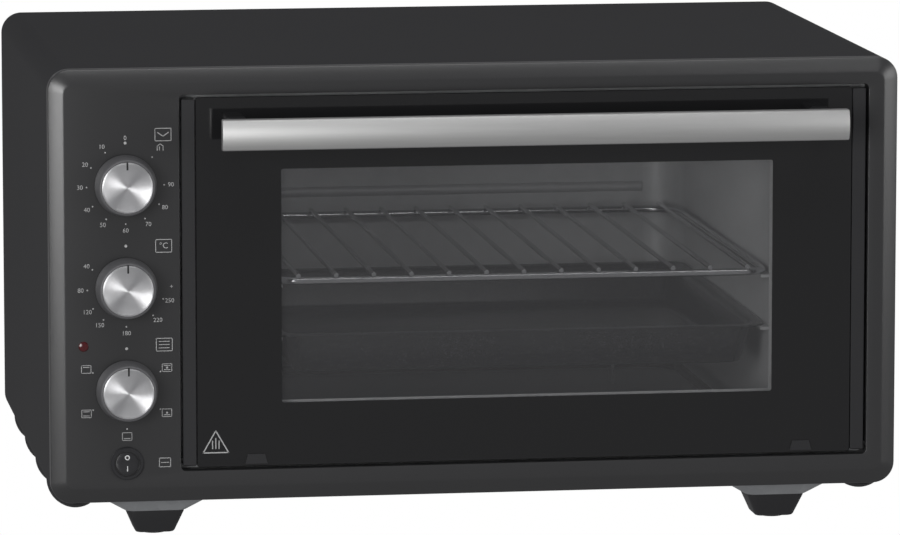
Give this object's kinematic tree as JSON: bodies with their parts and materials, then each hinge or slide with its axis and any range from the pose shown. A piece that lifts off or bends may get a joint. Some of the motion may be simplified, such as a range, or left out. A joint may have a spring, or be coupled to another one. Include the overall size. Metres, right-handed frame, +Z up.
{
  "type": "toaster oven",
  "caption": "Countertop toaster oven: boxy dark metal casing, drop-down glass door with a bar handle, control column with knobs and rocker switch, wire rack, baking tray.",
  "frame": {"origin": "under the middle of the bounding box, on the surface that the feet stand on", "axes": "+X to the right across the front, +Y from the door to the rear, +Z up"},
  "size_m": [0.58, 0.4304, 0.3213],
  "materials": {
    "casing_paint": "fine textured dark grey powder coat",
    "frame_paint": "satin dark grey enamel",
    "galvanised_sheet": "galvanised sheet",
    "cavity_sheet": "aluminised steel, matt",
    "moulded_black": "fine moulded grain",
    "knob_plastic": "satin moulding",
    "rocker_plastic": "semi-gloss",
    "pad_rubber": "matt",
    "spun_aluminium": "spun, concentric grain",
    "handle_aluminium": "satin anodised",
    "door_glass": "tempered, black printed border",
    "inner_glass": "clear tempered",
    "chromed_wire": "bright plated",
    "tray_enamel": "semi-gloss vitreous enamel",
    "heater_sheath": "matt oxidised sheath",
    "insulator_white": "unglazed steatite",
    "zinc_plated": "bright zinc plate",
    "lamp_red": "translucent red lens",
    "unit_plastic": "natural nylon"
  },
  "bodies": {
    "oven_body": {"bottom_pan": "galvanised_sheet", "casing_screws": "zinc_plated", "cavity_shell": "cavity_sheet", "control_bracket": "galvanised_sheet", "control_screws": "zinc_plated", "cord_gland": "moulded_black", "fan_cover": "cavity_sheet", "fan_motor": "zinc_plated", "foot_cups": "galvanised_sheet", "foot_front_left": "moulded_black", "foot_front_right": "moulded_black", "foot_pads": "pad_rubber", "foot_rear_left": "moulded_black", "foot_rear_right": "moulded_black", "foot_screws": "zinc_plated", "front_frame": "frame_paint", "heat_shield": "galvanised_sheet", "heater_clips": "galvanised_sheet", "heater_insulators": "insulator_white", "heater_lower": "heater_sheath", "heater_upper": "heater_sheath", "hinge_brackets": "galvanised_sheet", "hinge_springs": "zinc_plated", "lamp_body": "moulded_black", "lamp_lens": "lamp_red", "outer_casing": "casing_paint", "rear_panel": "casing_paint", "switch_housing": "rocker_plastic", "terminal_block": "unit_plastic", "thermostat_bulb": "zinc_plated", "unit_selector": "unit_plastic", "unit_thermostat": "unit_plastic", "unit_timer": "unit_plastic"},
    "door": {"door_glass": "door_glass", "door_inner_frame": "cavity_sheet", "door_inner_glass": "inner_glass", "glass_clips": "moulded_black", "door_trim_left": "moulded_black", "door_trim_right": "moulded_black", "door_arm_left": "galvanised_sheet", "door_arm_right": "galvanised_sheet", "hinge_pins": "zinc_plated", "handle_bar": "handle_aluminium", "handle_bracket_left": "moulded_black", "handle_bracket_right": "moulded_black", "handle_screws": "zinc_plated"},
    "rocker": {"switch_rocker": "rocker_plastic"},
    "rack": {"wire_rack": "chromed_wire"},
    "tray": {"baking_tray": "tray_enamel"},
    "fan": {"fan_blade": "galvanised_sheet", "fan_shaft": "zinc_plated"},
    "timer_knob": {"knob_skirt_timer": "knob_plastic", "knob_cap_timer": "spun_aluminium", "shaft_timer": "zinc_plated"},
    "thermostat_knob": {"knob_skirt_thermostat": "knob_plastic", "knob_cap_thermostat": "spun_aluminium", "shaft_thermostat": "zinc_plated"},
    "selector_knob": {"knob_skirt_selector": "knob_plastic", "knob_cap_selector": "spun_aluminium", "shaft_selector": "zinc_plated"}
  },
  "joints": [
    {"name": "door_hinge", "type": "hinge", "parent": "oven_body", "child": "door", "pos_m": [0, -0.1717, 0.055], "axis": [1, 0, 0], "range_deg": [0, 90]},
    {"name": "timer_turn", "type": "hinge", "parent": "oven_body", "child": "timer_knob", "pos_m": [-0.2386, -0.1772, 0.2434], "axis": [0, -1, 0], "range_deg": [-44, 270]},
    {"name": "thermostat_turn", "type": "hinge", "parent": "oven_body", "child": "thermostat_knob", "pos_m": [-0.2386, -0.1772, 0.1738], "axis": [0, -1, 0], "range_deg": [0, 271]},
    {"name": "selector_turn", "type": "hinge", "parent": "oven_body", "child": "selector_knob", "pos_m": [-0.2386, -0.1772, 0.1042], "axis": [0, -1, 0], "range_deg": [0, 300]},
    {"name": "rocker_tilt", "type": "hinge", "parent": "oven_body", "child": "rocker", "pos_m": [-0.2386, -0.1747, 0.0547], "axis": [1, 0, 0], "range_deg": [0, 19]},
    {"name": "rack_slide", "type": "slide", "parent": "oven_body", "child": "rack", "axis": [0, -1, 0], "range_m": [0, 0.0943]},
    {"name": "tray_slide", "type": "slide", "parent": "oven_body", "child": "tray", "axis": [0, -1, 0], "range_m": [0, 0.0786]},
    {"name": "fan_spin", "type": "hinge", "parent": "oven_body", "child": "fan", "pos_m": [0, 0.0228, 0.2375], "axis": [1, 0, 0], "continuous": true}
  ],
  "couplings": [
    {"joint": "rack_slide", "follows": "door_hinge", "m_per_rad": 0.06},
    {"joint": "tray_slide", "follows": "door_hinge", "m_per_rad": 0.05}
  ]
}
